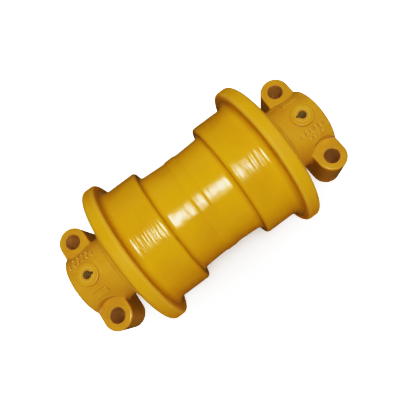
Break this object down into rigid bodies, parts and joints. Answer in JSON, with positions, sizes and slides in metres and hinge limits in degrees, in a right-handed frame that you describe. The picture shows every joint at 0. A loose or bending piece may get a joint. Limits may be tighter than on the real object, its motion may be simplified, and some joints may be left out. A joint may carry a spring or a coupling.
{
  "type": "track roller",
  "caption": "Bottom track roller for a crawler undercarriage: a double-flange shell that turns on a fixed shaft between two bolt-on end collars with sealed ends.",
  "frame": {"origin": "middle of the shaft, on its axis, half way between the two collars", "axes": "+Y along the shaft towards the end with the oil plug, +Z away from the mounting pads (the bolt heads sit on the +Z side), +X across the roller. On a machine the pads bolt up against the underside of the track frame, so the machine's up is this row's -Z."},
  "size_m": [0.1946, 0.356, 0.1946],
  "materials": {
    "shell_paint": "gloss",
    "collar_paint": "satin",
    "pin_paint": "satin",
    "shaft_steel": "ground",
    "plug_steel": "zinc plated",
    "washer_copper": "soft",
    "bushing_bronze": "machined",
    "seal_iron": "lapped",
    "seal_rubber": "matte"
  },
  "bodies": {
    "root": {"shaft": "shaft_steel", "oil_plug": "plug_steel", "oil_plug_seal": "washer_copper", "collar_left": "collar_paint", "collar_o_ring_left": "seal_rubber", "lock_pin_left": "pin_paint", "seal_ring_collar_left": "seal_iron", "toric_ring_collar_left": "seal_rubber", "collar_right": "collar_paint", "collar_o_ring_right": "seal_rubber", "lock_pin_right": "pin_paint", "seal_ring_collar_right": "seal_iron", "toric_ring_collar_right": "seal_rubber"},
    "roller": {"roller_shell": "shell_paint", "bushing_left": "bushing_bronze", "seal_ring_shell_left": "seal_iron", "toric_ring_shell_left": "seal_rubber", "bushing_right": "bushing_bronze", "seal_ring_shell_right": "seal_iron", "toric_ring_shell_right": "seal_rubber"}
  },
  "joints": [
    {"name": "roller_spin", "type": "hinge", "parent": "root", "child": "roller", "pos_m": [0, 0, 0], "axis": [0, 1, 0], "continuous": true}
  ]
}
